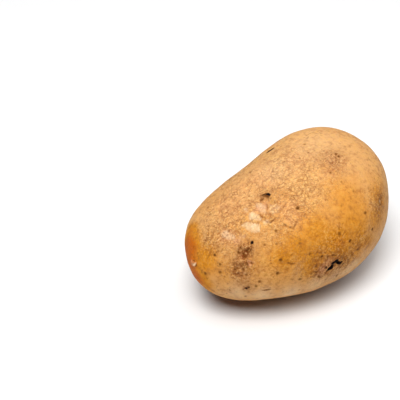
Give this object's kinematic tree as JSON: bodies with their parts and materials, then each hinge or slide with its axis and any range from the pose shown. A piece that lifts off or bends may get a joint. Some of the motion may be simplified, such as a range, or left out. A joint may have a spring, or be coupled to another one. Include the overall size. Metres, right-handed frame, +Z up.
{
  "type": "potato",
  "caption": "Long oval potato, slightly bent, with shallow browed eyes, a stem scar and a split in its skin, lying on a small flat spot.",
  "frame": {"origin": "on the surface that the potato lies on, under the middle of its bounding box", "axes": "+Z up, +X along the potato's length towards its stem end, +Y to the side that both ends bend towards"},
  "size_m": [0.1026, 0.0638, 0.0574],
  "materials": {
    "skin": "thin satin potato skin, golden tan with fine brown netting, small brown pores and browner eyes"
  },
  "bodies": {
    "root": {"potato": "skin"}
  },
  "joints": []
}
